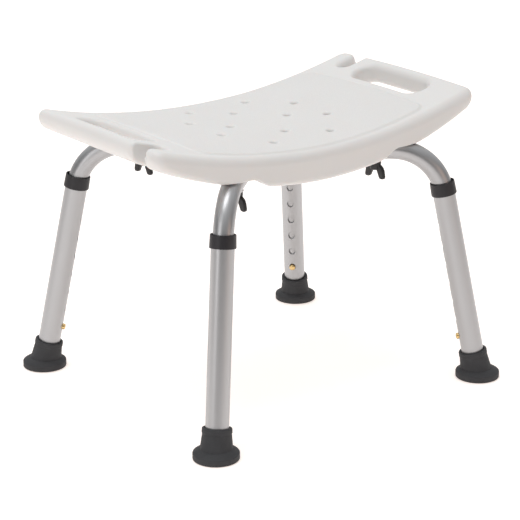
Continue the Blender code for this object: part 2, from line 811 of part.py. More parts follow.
def seat_body(name, wall):
    """The seat's outer form when wall is 0, or the hollow inside it, a wall's thickness in."""
    flat_top = SEAT_TOP_Z - SEAT_RIM_Z
    flat_under = SEAT_UNDER_Z - SEAT_RIM_Z
    edges = (SEAT_LOW_ROLL - wall, SEAT_ROLL - wall)
    span = (-CUT_PAST, flat_top + CUT_PAST)
    body = rounded_slab(name, seat_outline(wall), wall, flat_top - wall, *edges)
    cutters = [extruded("cut_pocket", pocket_outline(wall), -CUT_PAST, flat_under + wall)]
    for side in (1, -1):
        cutters.append(extruded("cut_slot", slot_outline(side, wall), *span))
        cutters.append(extruded("cut_holder", holder_outline(side, wall), *span))
    for x, y in drain_places():
        drain = cylinder("cut_drain", DRAIN_R + wall, *span, sides=DRAIN_SIDES)
        drain.matrix_world = Matrix.Translation((x, y, 0))
        cutters.append(drain)
    body = slice_and_curve(combine(body, cutters))
    insert_r = INSERT_R + GAP
    below = SEAT_RIM_Z - CUT_PAST
    above = SEAT_TOP_Z + SEAT_TOP_RISE
    if wall:
        cutters = [screw_column(corner, insert_r + wall, below, above) for corner in CORNERS]
        cutters.append(cylinder("cut_centre", CENTRE_RECESS_R + wall, below, CENTRE_RECESS_Z + wall))
    else:
        bosses = [screw_column(corner, BOSS_R, BOSS_LOW_Z, BOSS_HIGH_Z) for corner in CORNERS]
        body = combine(body, bosses, "UNION")
        cutters = [screw_column(corner, insert_r, below, INSERT_HIGH + GAP) for corner in CORNERS]
        cutters.append(cylinder("cut_centre", CENTRE_RECESS_R, below, CENTRE_RECESS_Z))
    for corner in ("front_left", "front_right"):
        cutters.append(tube_channel("cut_channel", corner, UPPER_R + CHANNEL_GAP + wall))
    cutters += [notch(*sides, wall) for sides in CORNERS.values()]
    return combine(body, cutters)


def seat():
    shell = seat_body("seat", 0.0)
    hollow = hide_cutter(seat_body("hollow", SEAT_WALL))
    vent = cylinder("cut_vent", VENT_R, SEAT_RIM_Z, VENT_TOP_Z, sides=SMALL_STEPS)
    vent.matrix_world = Matrix.Translation((VENT_X, 0, 0))
    return finish(combine(shell, [hollow, vent]), "seat_plastic", SEAT_SMOOTH_ANGLE)


# ---------------------------------------------------------------- assembly

def main():
    clear_scene()
    seat()
    upper_tube("cross_tube_front_left", "front_left", -1)
    upper_tube("cross_tube_front_right", "front_right", 1)
    centre_fixing()
    for corner in CORNERS:
        lower_tube(corner)
        collar(corner)
        foot(corner)
        foot_washer(corner)
        snap_button(corner)
        snap_spring(corner)
        screw_stack(corner)


main()
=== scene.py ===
"""Looks of the height-adjustable bath stool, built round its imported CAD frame. Metres, +Z up."""
import json
import math

import bmesh
import bpy
import numpy as np
from mathutils import Matrix, Vector

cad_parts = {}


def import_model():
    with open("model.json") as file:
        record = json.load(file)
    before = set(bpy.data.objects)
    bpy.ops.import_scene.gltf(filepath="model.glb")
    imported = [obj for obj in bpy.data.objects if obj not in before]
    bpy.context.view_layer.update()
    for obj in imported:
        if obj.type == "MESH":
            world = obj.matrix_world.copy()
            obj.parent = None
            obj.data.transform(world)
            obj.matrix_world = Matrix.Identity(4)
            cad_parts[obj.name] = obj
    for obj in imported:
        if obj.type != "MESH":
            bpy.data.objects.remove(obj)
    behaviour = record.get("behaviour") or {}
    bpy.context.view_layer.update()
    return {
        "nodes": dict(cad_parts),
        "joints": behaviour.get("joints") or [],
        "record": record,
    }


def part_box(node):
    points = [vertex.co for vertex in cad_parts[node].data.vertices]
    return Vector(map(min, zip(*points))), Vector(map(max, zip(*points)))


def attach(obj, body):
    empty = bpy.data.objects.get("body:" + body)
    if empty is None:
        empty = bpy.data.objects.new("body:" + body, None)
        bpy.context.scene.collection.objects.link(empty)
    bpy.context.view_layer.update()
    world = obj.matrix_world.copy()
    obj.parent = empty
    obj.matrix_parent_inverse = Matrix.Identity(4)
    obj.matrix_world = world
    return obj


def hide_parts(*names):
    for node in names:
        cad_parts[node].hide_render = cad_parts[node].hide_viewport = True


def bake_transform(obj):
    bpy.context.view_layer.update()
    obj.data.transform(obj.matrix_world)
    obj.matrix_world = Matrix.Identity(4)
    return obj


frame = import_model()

CORNERS = {"front_left": (-1, -1), "front_right": (1, -1), "rear_left": (-1, 1), "rear_right": (1, 1)}
JOINTS = {joint["name"]: joint for joint in frame["joints"]}
GAP = 0.0003                    # clearance between two pieces
OVERLAP = 0.0001
EDGE = 0.0003                   # radius of a small edge
TINY = 1e-7
SIDES = 64                      # facets round a tube, and round a small turned piece
SMALL_SIDES = 48

# Tubes and legs; distances along a leg are from the floor
UPPER_R = 0.0127
UPPER_WALL = 0.0015
UPPER_END = 0.037
LOWER_R = 0.0143
LOWER_BORE = 0.0130
LOWER_START = 0.0093
LOWER_END = 0.2575
RUN_Z = 0.3056                  # height of the axes of the tubes' level runs
BEND_START = LOWER_END
BEND_STEPS = 28
LEG_MIDDLE = 0.15
RUN_MIDDLE = 0.10
LAP_HALF_WIDTH = 0.0165         # the tubes are pressed flat where they cross
LAP_HALF_HEIGHT = 0.00535
LAP_FLAT = 0.017
LAP_FADE = 0.045
LAP_STEPS = 14
LAP_SQUARENESS = 0.55
LAP_OFFSET = LAP_HALF_HEIGHT + GAP
HOLE_PITCH = 0.0254
HOLE_COUNT = 7
HOLE_R = 0.0045
HOLE_INNER = 0.008              # a hole's cutter, from the leg's axis outwards
HOLE_SINK = 0.0008
HOLE_PAST = 0.0014
HOLE_FLARE = 0.0022
DRAWN_SHORTENING = 0.02         # a length along a tube, as the drawn grain sees it

# Snap buttons and springs
BUTTON_S = 0.0590               # distance along a leg to the locked hole
BUTTON_R = 0.0040
BUTTON_INNER = 0.0102
BUTTON_OUTER = 0.0182
BUTTON_DOME = 0.0016
BUTTON_CUT = (0.006, 0.016)
SPRING_STEP = 0.0030
SPRING_CUTS = 5

# Collars and feet
COLLAR_START = 0.2525
COLLAR_END = 0.2691
COLLAR_R = 0.0163
COLLAR_TAPER = (0.0005, 0.0010)    # how much narrower its top is, and how far up it starts to narrow
COLLAR_RADII = (EDGE, 0.0014, 0.0004, 0.0004, 0.0002)
FLANGE_R = 0.0285
FLANGE_EDGE_Z = 0.0078
CREASE_Z = 0.0128
CREASE = ((-0.0010, 0.0), (0.0030, -0.0016))    # the crease's points, from the cup's foot
FLANGE_RADII = (0, 0.001, 0.003, 0.0018, 0.0012)
TREAD_RINGS = ((0.0255, 0.0225), (0.0190, 0.0160), (0.0125, 0.0095))
TREAD_HUB_R = 0.0045
TREAD_DEPTH = 0.0012
CUP_TOP = 0.0372
CUP_R = 0.0183
CUP_LOW_R = 0.0198
CUP_LIP = 0.0058
CUP_LIP_FLARE = 0.0002
CUP_STEP = (0.0004, 0.0012)     # in and down, under the lip
CUP_START = 0.0085
CUP_ROOT = 0.0010
CUP_RADII = (0, 0.0016, 0.0006, 0.0008, 0.004, 0.0005, 0)
CUP_BORE_START = 0.0072
CUP_MOUTH = (0.0018, 0.0012, 0.0008)    # flare out from the tube, below the cup's top and past it
CUP_MOUTH_ROLL = 0.0006

# Clamping screws and the centre bolt
STUD_R = 0.0030
STUD_TIP_R = 0.0021
THREAD_ROOT_R = 0.0026
THREAD_PITCH = 0.0010
THREAD_LAND = 0.00015
THREAD_FLANK = 0.0005
THREAD_FLOOR = 0.0006
THREAD_START = 0.0006           # plain lengths: at a stud's tip, above its head, and at the centre bolt's tip
STUD_PLAIN = 0.0015
BOLT_START = 0.0005
BOLT_HEAD = 0.0040
BOLT_SINK = 0.0005              # the shank starts inside the head
BOLT_TIP_R = 0.0022
THREAD_HOLE_R = 0.0033          # holes: for a thread, round a screw, and round the centre bolt
SCREW_HOLE_R = 0.0035
BOLT_HOLE_R = 0.0034
WASHER_R = 0.0085
WASHER_SIDES = 56
CUT_REACH = 0.02
HEX_R = 0.0058
HEX_FACE = 0.93                 # radii of the turned chamfer, as shares of the hexagon's
HEX_PAST = 1.02
HEX_CHAMFER = 0.0007
KNOB_HUB_R = 0.0075
KNOB_NECK_R = 0.0066
KNOB_HUB_HEIGHT = 0.0120
KNOB_SKIRT = 0.0035
KNOB_RADII = (0, 0.0008, 0.0010, 0.0020, 0)
KNOB_TURN = math.radians(-84)
WING_HALF = 0.0025
WING_ROUND = 0.0009
WING_ROOT = (0.001, 0.0015)     # inside the hub: reach from the axis, rise from the hub's foot
WING_EDGE = ((0.0064, 0.0040), (0.0124, 0.0080), (0.0146, 0.0122))    # reach, drop from the top
WING_SPAN = 0.0160
WING_TOE = 0.0030
WING_FOOT = (0.0152, 0.0088)
WING_CREASE = 0.0038
WING_RADII = (0, 0, 0.001, 0.004, 0.005, 0.003, 0.0022, 0.0032, 0.002)
INSERT_R = 0.0055
INSERT_WAIST_R = 0.0049
INSERT_WAIST = (0.0040, 0.0045, 0.0055, 0.0060)    # drops from the top: where it narrows and widens
INSERT_RIBS = 30
INSERT_RIB_DEPTH = 0.03
INSERT_PLAIN = 0.001
# Seat: half sizes in plan, heights at the middle, and how far each height rises by the ends
LENGTH, WIDTH = 0.2510, 0.1402
SIDE_BOW, END_BOW, CORNER_R = 0.0065, 0.0010, 0.0160
TOP_Z, TOP_RISE, CROWN, TOP_ROLL = 0.3368, 0.0375, 0.0028, 0.0120
RIM_Z, RIM_RISE, RIM_ROLL, RIM_ROLL_RISE = 0.2945, 0.0536, 0.0060, 0.0055
UNDER_Z, UNDER_RISE = 0.3208, 0.0345
PANEL_LENGTH, PANEL_WIDTH, PANEL_CORNER = 0.1790, 0.1280, 0.0140
PANEL_END_BOW, PANEL_SIDE_BOW = 0.0050, 0.0115
PANEL_RAISE, PANEL_STEP, PANEL_FADE = 0.0020, 0.0026, 0.0015
PANEL_ABOVE = 0.006
POCKET, POCKET_ROLL, POCKET_EDGE = (0.1860, 0.1182, 0.0150), 0.0060, 0.0025
SLOT_LOW, SLOT_HIGH, SLOT_R = (0.1945, -0.0715), (0.2310, 0.0560), 0.0160
SLOT_TOP_ROLL, SLOT_LOW_ROLL = 0.0070, 0.0120
HOLDER_R, HOLDER_END_X, HOLDER_Y = 0.0100, 0.2200, 0.0895
HOLDER_BAR_ROLL, HOLDER_LOBE_ROLL, HOLDER_LOW_ROLL = 0.0040, 0.0095, 0.0050
HOLDER_BAR_FLARE, HOLDER_LOBE_FLARE, FLARE_LIMIT = 0.0045, 0.0120, 0.999
DRAINS = ((0.0450, 0.0875), (0.0838, 0.0338), (0.0, 0.0530), (0.0456, 0.0))
DRAIN_R, DRAIN_ROLL, DRAIN_LOW_ROLL = 0.0036, 0.0050, 0.0015
NOTCH_INNER, NOTCH_OUTER, NOTCH_REACH = 0.0935, 0.1560, 0.1192
NOTCH_FLANK, NOTCH_FLANK_Z, NOTCH_TOP = 0.0170, 0.3040, 0.3145
NOTCH_ROLL, NOTCH_EDGE = 0.0030, 0.0018
BOSS_R, BOSS_LOW, BOSS_HIGH = 0.0180, 0.3135, 0.3300
BOSS_ROLL, BOSS_FILLET = 0.0015, 0.0030
ROOM, ROOM_EDGE = 0.0010, 0.0012
BORE_R, BORE_TOP, BORE_EDGE = 0.0058, 0.3333, 0.0006
RECESS_R, RECESS_TOP, RECESS_EDGE = 0.0100, 0.3275, 0.0015
VENT_X, VENT_R, VENT_TOP = 0.1150, 0.0035, 0.3330
VOXEL = 0.0016
NET_SIDE, NET_BELOW = 0.004, 0.006
SLOPE_STEP = 0.0002
SEAT_TRIANGLES = 150_000

# Stage
FLOOR_Z, FLOOR_HALF, FLOOR_GLOW = -0.0004, 8, 0.50
EYE = Vector((-1.590458, -2.060218, 1.044733))
AIM = Vector((0.0, -0.001566, 0.153588))
ROLL = math.radians(-0.1264)
LENS, SENSOR = 147.2, 36.0
BACKDROP_WAY = (0.611, 0.791, 0.0)


# ---------------------------------------------------------------- mesh helpers


def settle(piece, body, material, slot, *nodes):
    """Give the piece its material, and tie it to its CAD body and the nodes it stands for."""
    piece.data.materials.clear()
    piece.data.materials.append(material)
    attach(piece, body)
    if nodes:
        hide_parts(*nodes)
    return piece


def add_piece(name, mesh):
    piece = bpy.data.objects.new(name, mesh)
    bpy.context.scene.collection.objects.link(piece)
    return piece


def smooth(piece, sharp):
    piece.data.shade_smooth()
    piece.data.set_sharp_from_angle(angle=math.radians(sharp))


def mesh_object(name, points, faces, sharp):
    mesh = bpy.data.meshes.new(name)
    mesh.from_pydata([tuple(p) for p in points], [], [tuple(f) for f in faces])
    mesh.validate()
    piece = add_piece(name, mesh)
    smooth(piece, sharp)
    return piece


def lathe(name, profile, steps=SIDES, matrix=None, sharp=32):
    """Turn a closed profile of (radius, height) points about Z; zero radii become poles."""
    points, rings = [], []
    for radius, height in profile:
        if radius < TINY:
            rings.append([len(points)] * steps)
            points.append((0.0, 0.0, height))
            continue
        rings.append(list(range(len(points), len(points) + steps)))
        for i in range(steps):
            angle = 2 * math.pi * i / steps
            points.append((radius * math.cos(angle), radius * math.sin(angle), height))
    faces = []
    for k in range(len(rings)):
        a, b = rings[k], rings[(k + 1) % len(rings)]
        for i in range(steps):
            j = (i + 1) % steps
            face = []
            for v in (a[i], a[j], b[j], b[i]):
                if v not in face:
                    face.append(v)
            if len(face) > 2:
                faces.append(face)
    piece = mesh_object(name, points, faces, sharp)
    outward(piece)
    if matrix is not None:
        piece.data.transform(matrix)
    return piece


def rod(name, radius, low, high):
    return lathe(name, [(0, low), (radius, low), (radius, high), (0, high)], SIDES // 2)


def slab(name, outline):
    """An upright plate with rounded edges, whose outline lies in XZ."""
    bm = bmesh.new()
    face = bm.faces.new([bm.verts.new((x, -WING_HALF, z)) for x, z in outline])
    made = bmesh.ops.extrude_face_region(bm, geom=[face])
    moved = [v for v in made["geom"] if isinstance(v, bmesh.types.BMVert)]
    bmesh.ops.translate(bm, vec=(0, 2 * WING_HALF, 0), verts=moved)
    bmesh.ops.recalc_face_normals(bm, faces=bm.faces)
    rims = []
    for edge in bm.edges:
        a, b = edge.verts
        if abs(a.co.y - b.co.y) < WING_HALF:
            rims.append(edge)
    bmesh.ops.bevel(bm, geom=rims, offset=WING_ROUND, segments=3, profile=0.5, affect="EDGES",
                    clamp_overlap=True)
    mesh = bpy.data.meshes.new(name)
    bm.to_mesh(mesh)
    bm.free()
    return add_piece(name, mesh)


def outward(piece):
    bm = bmesh.new()
    bm.from_mesh(piece.data)
    bmesh.ops.recalc_face_normals(bm, faces=bm.faces)
    bm.to_mesh(piece.data)
    bm.free()


def rounded(points, radius, steps=4):
    """Round each corner of a closed outline that is marked with a radius."""
    result = []
    n = len(points)
    for i, point in enumerate(points):
        r = radius[i] if isinstance(radius, (list, tuple)) else radius
        p = Vector(point)
        if not r:
            result.append(tuple(p))
            continue
        a, b = Vector(points[i - 1]) - p, Vector(points[(i + 1) % n]) - p
        turn = a.angle(b, math.pi)
        cut = min(r / math.tan(turn / 2), a.length * 0.49, b.length * 0.49)
        start, end = p + a.normalized() * cut, p + b.normalized() * cut
        for k in range(steps + 1):
            t = k / steps
            result.append(tuple((1 - t) ** 2 * start + 2 * t * (1 - t) * p + t ** 2 * end))
    return result


def boolean(piece, cutters, operation="DIFFERENCE"):
    for cutter in cutters:
        step = piece.modifiers.new(operation.lower(), "BOOLEAN")
        step.operation = operation
        step.solver = "EXACT"
        step.object = cutter
    graph = bpy.context.evaluated_depsgraph_get()
    mesh = bpy.data.meshes.new_from_object(piece.evaluated_get(graph))
    piece.modifiers.clear()
    piece.data = mesh
    for cutter in cutters:
        bpy.data.objects.remove(cutter, do_unlink=True)
    return piece


# ---------------------------------------------------------------- places from the frame


def foot_point(corner):
    mount = next(m for m in frame["record"]["mounts"] if m["name"] == f"floor_rest_{corner}")
    return Vector(mount["pos_m"])


def leg_matrix(corner):
    """Local Z runs up the leg's axis from the floor, and local +X faces outwards."""
    up = -Vector(JOINTS[f"leg_slide_{corner}"]["axis"]).normalized()
    outward_way = Vector(JOINTS[f"button_press_{corner}"]["axis"]).normalized()
    across = up.cross(outward_way)
    matrix = Matrix((outward_way, across, up)).transposed().to_4x4()
    matrix.translation = foot_point(corner)
    return matrix


def hole_matrix(along):
    """Local Z runs out through a hole at this distance along a leg."""
    return Matrix.Translation((0, 0, along)) @ Matrix.Rotation(-math.pi / 2, 4, "Y")


def button_matrix(corner):
    return leg_matrix(corner) @ hole_matrix(BUTTON_S)


def screw_point(corner):
    return Vector(JOINTS[f"screw_turn_{corner}"]["pos_m"]) * Vector((1, 1, 0))


FOOT = foot_point("rear_right")
FOOT_RADIUS = FOOT.length
SCREW = screw_point("rear_right")
DIAGONAL = math.atan2(FOOT.y, FOOT.x)
LEAN = math.acos(abs(JOINTS["leg_slide_rear_right"]["axis"][2]))
MEET = RUN_Z / math.cos(LEAN)
TANGENT = MEET - BEND_START
TURN = math.pi / 2 - LEAN
BEND_R = TANGENT / math.tan(TURN / 2)
BEND_U = FOOT_RADIUS - MEET * math.sin(LEAN) - TANGENT
BEND_Z = RUN_Z - BEND_R


# ---------------------------------------------------------------- material helpers

class Nodes:
    """A short way to write a node tree."""

    def __init__(self, name):
        self.material = bpy.data.materials.new(name)
        self.material.use_nodes = True
        self.tree = self.material.node_tree
        self.shader = self.tree.nodes["Principled BSDF"]

    def node(self, kind, **values):
        made = self.tree.nodes.new(kind)
        for key, value in values.items():
            setattr(made, key, value)
        return made

    def link(self, source, target):
        self.tree.links.new(source, target)

    def put(self, socket, value):
        if isinstance(value, bpy.types.NodeSocket):
            self.link(value, socket)
        else:
            socket.default_value = value

    def put_colour(self, socket, value):
        self.put(socket, value if isinstance(value, bpy.types.NodeSocket) else (*value, 1.0))

    def coords(self):
        return self.node("ShaderNodeTexCoord").outputs["Object"]

    def attribute(self, name, output="Vector"):
        return self.node("ShaderNodeAttribute", attribute_name=name).outputs[output]

    def noise(self, vector, scale, detail=2.0, rough=0.5):
        made = self.node("ShaderNodeTexNoise")
        self.link(vector, made.inputs["Vector"])
        made.inputs["Scale"].default_value = scale
        made.inputs["Detail"].default_value = detail
        made.inputs["Roughness"].default_value = rough
        return made.outputs["Fac"]

    def voronoi(self, vector, scale):
        made = self.node("ShaderNodeTexVoronoi")
        self.link(vector, made.inputs["Vector"])
        made.inputs["Scale"].default_value = scale
        return made.outputs["Distance"]

    def math(self, operation, a, b):
        made = self.node("ShaderNodeMath", operation=operation)
        self.put(made.inputs[0], a)
        self.put(made.inputs[1], b)
        return made.outputs[0]

    def add(self, a, b):
        return self.math("ADD", a, b)

    def times(self, a, b):
        return self.math("MULTIPLY", a, b)

    def ramp(self, value, low, high, start=0.0, end=1.0):
        made = self.node("ShaderNodeMapRange")
        self.put(made.inputs["Value"], value)
        for name, number in (("From Min", start), ("From Max", end), ("To Min", low), ("To Max", high)):
            made.inputs[name].default_value = number
        return made.outputs["Result"]

    def mix(self, factor, a, b, blend="MIX"):
        made = self.node("ShaderNodeMix", data_type="RGBA", blend_type=blend)
        self.put(made.inputs[0], factor)
        self.put_colour(made.inputs[6], a)
        self.put_colour(made.inputs[7], b)
        return made.outputs[2]

    def grey(self, value):
        made = self.node("ShaderNodeCombineColor")
        for socket in made.inputs:
            self.link(value, socket)
        return made.outputs[0]

    def bump(self, height, distance, strength, after=None):
        made = self.node("ShaderNodeBump")
        self.link(height, made.inputs["Height"])
        made.inputs["Distance"].default_value = distance
        self.put(made.inputs["Strength"], strength)
        if after is not None:
            self.link(after, made.inputs["Normal"])
        return made.outputs["Normal"]

    def finish(self, colour, rough, normal=None, **fixed):
        self.put_colour(self.shader.inputs["Base Color"], colour)
        self.put(self.shader.inputs["Roughness"], rough)
        if normal is not None:
            self.link(normal, self.shader.inputs["Normal"])
        for name, value in fixed.items():
            self.shader.inputs[name.replace("_", " ")].default_value = value
        return self.material


def seat_material():
    """Satin moulded plastic that lets a little light in, with a pitted grain on the panel that darkens its
    colour, left out round the drain holes as a painted highlight.
    """
    n = Nodes("seat_moulded")
    place = n.coords()
    panel = n.attribute("panel", "Fac")
    cloud = n.noise(place, scale=9.0, detail=3.0, rough=0.55)
    colour = n.mix(cloud, (0.672, 0.664, 0.652), (0.704, 0.698, 0.690))
    grain = n.noise(place, scale=1100.0, rough=0.6)
    pits = n.voronoi(place, scale=900.0)
    texture = n.add(n.times(grain, 0.7), n.times(pits, 0.5))
    shade = n.ramp(texture, low=0.93, high=1.03, start=0.35, end=0.95)
    # painted highlight: the grain's darkening follows the panel mask, which leaves out the drain rims, so
    # they stay lighter
    shade = n.add(n.times(n.math("SUBTRACT", shade, 1.0), panel), 1.0)
    tint = n.mix(1.0, colour, n.grey(shade), blend="MULTIPLY")
    rough = n.add(n.ramp(cloud, low=0.34, high=0.44), n.times(panel, 0.12))
    waves = n.noise(place, scale=60.0, detail=4.0, rough=0.6)
    fine = n.bump(waves, distance=0.00025, strength=0.35)
    normal = n.bump(texture, distance=0.00022, strength=n.add(n.times(panel, 0.75), 0.06), after=fine)
    return n.finish(tint, rough, normal, Specular_IOR_Level=0.42, Subsurface_Weight=0.18,
                    Subsurface_Scale=0.004, Subsurface_Radius=(1.0, 0.55, 0.40))


def aluminium_material():
    """Anodised tube, with drawn lines along it and a faint haze."""
    n = Nodes("anodised_aluminium")
    drawn = n.attribute("drawn")
    lines = n.noise(drawn, scale=1500.0)
    wide = n.noise(drawn, scale=160.0)
    haze = n.noise(n.coords(), scale=12.0)
    streaks = n.ramp(lines, low=0.0, high=1.0, start=0.3, end=0.7)
    colour = n.mix(streaks, (0.4092, 0.4139, 0.4232), (0.440, 0.445, 0.455))
    rough = n.add(n.ramp(wide, low=0.33, high=0.42, start=0.3, end=0.7), n.ramp(haze, low=-0.02, high=0.02))
    normal = n.bump(lines, distance=0.00001, strength=0.35)
    return n.finish(colour, rough, normal, Metallic=1.0)


def plain_material(name, dark, light, rough, scale, bump, metallic=0.0):
    """Moulded or plated stuff: clouded colour and roughness over a fine surface."""
    n = Nodes(name)
    place = n.coords()
    cloud = n.noise(place, scale, detail=4.0, rough=0.6)
    grain = n.noise(place, scale=900.0, detail=3.0, rough=0.6)
    colour = n.mix(n.ramp(cloud, low=0.0, high=1.0, start=0.3, end=0.7), dark, light)
    both = n.add(n.times(cloud, 0.6), n.times(grain, 0.4))
    sheen = n.ramp(both, low=rough[0], high=rough[1], start=0.3, end=0.7)
    return n.finish(colour, sheen, n.bump(grain, bump, strength=0.6), Metallic=metallic)


SEAT_MAT = seat_material()
ALU = aluminium_material()
COLLAR_MAT = plain_material("collar_moulded", (0.007, 0.006, 0.009), (0.012, 0.011, 0.014),
                            rough=(0.38, 0.55), scale=60.0, bump=0.00006)
KNOB_MAT = plain_material("knob_moulded", (0.004, 0.004, 0.005), (0.009, 0.009, 0.010),
                          rough=(0.32, 0.50), scale=80.0, bump=0.00006)
RUBBER = plain_material("foot_rubber", (0.022, 0.023, 0.026), (0.040, 0.041, 0.045),
                        rough=(0.62, 0.82), scale=45.0, bump=0.00012)
BRASS = plain_material("button_brass", (0.62, 0.42, 0.17), (0.80, 0.60, 0.30),
                       rough=(0.18, 0.34), scale=120.0, bump=0.00002, metallic=1.0)
STEEL = plain_material("zinc_steel", (0.46, 0.47, 0.50), (0.62, 0.63, 0.64),
                       rough=(0.24, 0.42), scale=90.0, bump=0.00003, metallic=1.0)


# ---------------------------------------------------------------- seat, as a field of signed distances


def round_and(a, b, r):
    """Where both fields are negative, with the edge between them rounded."""
    return np.minimum(np.maximum(a, b), -r) + np.hypot(np.maximum(a + r, 0.0), np.maximum(b + r, 0.0))


def round_cut(a, b, r):
    """The first field with the second cut away, and the edge between them rounded."""
    return round_and(a, -b, r)


def round_or(a, b, r):
    """Where either field is negative, with the corner between them filled."""
    return np.maximum(np.minimum(a, b), r) - np.hypot(np.maximum(r - a, 0.0), np.maximum(r - b, 0.0))


def plan_box(x, y, length, width, r):
    """Distance in plan to a rounded box about the origin, whose half sizes may vary."""
    qx, qy = np.abs(x) - length + r, np.abs(y) - width + r
    return np.hypot(np.maximum(qx, 0.0), np.maximum(qy, 0.0)) + np.minimum(np.maximum(qx, qy), 0.0) - r


def panel_distance(x, y):
    """Distance in plan to the grained panel, whose ends and sides bow outwards."""
    length = PANEL_LENGTH - PANEL_END_BOW * (y / WIDTH) ** 2
    width = PANEL_WIDTH - PANEL_SIDE_BOW * (x / PANEL_LENGTH) ** 2
    return plan_box(x, y, length, width, PANEL_CORNER)


def seat_block(x, y, z):
    """The seat before anything is cut, the distance to its outline, and where a point is nearer its top."""
    rise, slope = (x / LENGTH) ** 2, 2 * x / LENGTH ** 2
    bow = np.minimum(np.abs(x) / (LENGTH - CORNER_R), 1.0)
    out = plan_box(x, y, LENGTH - END_BOW * (y / WIDTH) ** 2, WIDTH - SIDE_BOW * bow ** 2, CORNER_R)
    step = np.clip(-panel_distance(x, y) / PANEL_STEP * 0.5 + 0.5, 0.0, 1.0)
    top = TOP_Z + TOP_RISE * rise - CROWN * (y / WIDTH) ** 2 + PANEL_RAISE * step * step * (3 - 2 * step)
    above = (z - top) / np.hypot(1.0, slope * TOP_RISE)
    below = (RIM_Z + RIM_RISE * rise - z) / np.hypot(1.0, slope * RIM_RISE)
    body = round_and(round_and(out, above, TOP_ROLL), below, RIM_ROLL + RIM_ROLL_RISE * rise ** 2)
    return body, out, above > below


def seat_pocket(x, y, z):
    """The hollow of the underside, inside the rim."""
    rise, slope = (x / LENGTH) ** 2, 2 * x / LENGTH ** 2
    under = (z - UNDER_Z - UNDER_RISE * rise) / np.hypot(1.0, slope * UNDER_RISE)
    return round_and(plan_box(x, y, *POCKET), under, POCKET_ROLL)


def hand_slot(ax, ys):
    cx, cy = (SLOT_LOW[0] + SLOT_HIGH[0]) / 2, (SLOT_LOW[1] + SLOT_HIGH[1]) / 2
    return plan_box(ax - cx, ys - cy, SLOT_HIGH[0] - cx, SLOT_HIGH[1] - cy, SLOT_R)


def holder_slot(ax, ys, out):
    """The open-ended slot, which flares at its mouth, and the radius of its top edge."""
    along, across = ax - HOLDER_END_X, ys - HOLDER_Y
    flare = np.where(across > 0, HOLDER_LOBE_FLARE, HOLDER_BAR_FLARE)
    near = np.clip((out + flare) / flare, 0.0, 1.0)
    width = HOLDER_R + flare * (1 - np.sqrt(1 - near * near * FLARE_LIMIT))
    lobe_share = np.clip(0.5 + across / (2 * HOLDER_R), 0.0, 1.0)
    roll = HOLDER_BAR_ROLL + (HOLDER_LOBE_ROLL - HOLDER_BAR_ROLL) * lobe_share
    return np.hypot(np.minimum(along, 0.0), across) - width, roll


def rim_notch(ax, ay, z):
    """The notch in the rim where a tube passes, with a slanted inner flank."""
    slant = NOTCH_FLANK / (NOTCH_TOP - NOTCH_FLANK_Z)
    flank = (NOTCH_INNER + slant * (z - NOTCH_FLANK_Z) - ax) / math.hypot(1.0, slant)
    notch = round_and(round_and(flank, z - NOTCH_TOP, NOTCH_ROLL), ax - NOTCH_OUTER, NOTCH_ROLL)
    return np.maximum(notch, NOTCH_REACH - ay)


def tube_room(x, y, z, turn):
    """The room round a cross tube's run and bends."""
    u = np.abs(x * math.cos(DIAGONAL) + turn * y * math.sin(DIAGONAL))
    v = y * math.cos(DIAGONAL) - turn * x * math.sin(DIAGONAL)
    plane = np.where(u < BEND_U, np.abs(z - RUN_Z), np.abs(np.hypot(u - BEND_U, z - BEND_Z) - BEND_R))
    return np.hypot(v, plane) - UPPER_R - ROOM


def seat_field(x, y, z):
    """Signed distance to the seat's surface, negative inside. Its two ends are alike after half a turn."""
    body, out, upper = seat_block(x, y, z)
    body = round_cut(body, seat_pocket(x, y, z), POCKET_EDGE)
    ax, ay = np.abs(x), np.abs(y)
    ys = y * np.where(x < 0, -1.0, 1.0)
    from_screw = np.hypot(ax - SCREW.x, ay - SCREW.y)
    boss = np.maximum(round_and(from_screw - BOSS_R, BOSS_LOW - z, BOSS_ROLL), z - BOSS_HIGH)
    body = round_or(body, boss, BOSS_FILLET)
    body = round_cut(body, hand_slot(ax, ys), np.where(upper, SLOT_TOP_ROLL, SLOT_LOW_ROLL))
    holder, holder_roll = holder_slot(ax, ys, out)
    body = round_cut(body, holder, np.where(upper, holder_roll, HOLDER_LOW_ROLL))
    for px, py in DRAINS:
        drain = np.hypot(ax - px, ay - py) - DRAIN_R
        body = round_cut(body, drain, np.where(upper, DRAIN_ROLL, DRAIN_LOW_ROLL))
    body = round_cut(body, rim_notch(ax, ay, z), NOTCH_EDGE)
    for turn in (1, -1):
        body = round_cut(body, tube_room(x, y, z, turn), ROOM_EDGE)
    body = round_cut(body, np.maximum(from_screw - BORE_R, z - BORE_TOP), BORE_EDGE)
    body = round_cut(body, np.maximum(np.hypot(x, y) - RECESS_R, z - RECESS_TOP), RECESS_EDGE)
    return round_cut(body, np.maximum(np.hypot(x - VENT_X, y) - VENT_R, z - VENT_TOP), BORE_EDGE)


def field_normal(points):
    columns = []
    for i in range(3):
        shift = np.zeros(3)
        shift[i] = SLOPE_STEP
        ahead, behind = points + shift, points - shift
        columns.append(seat_field(*ahead.T) - seat_field(*behind.T))
    return np.array(columns).T / (2 * SLOPE_STEP)


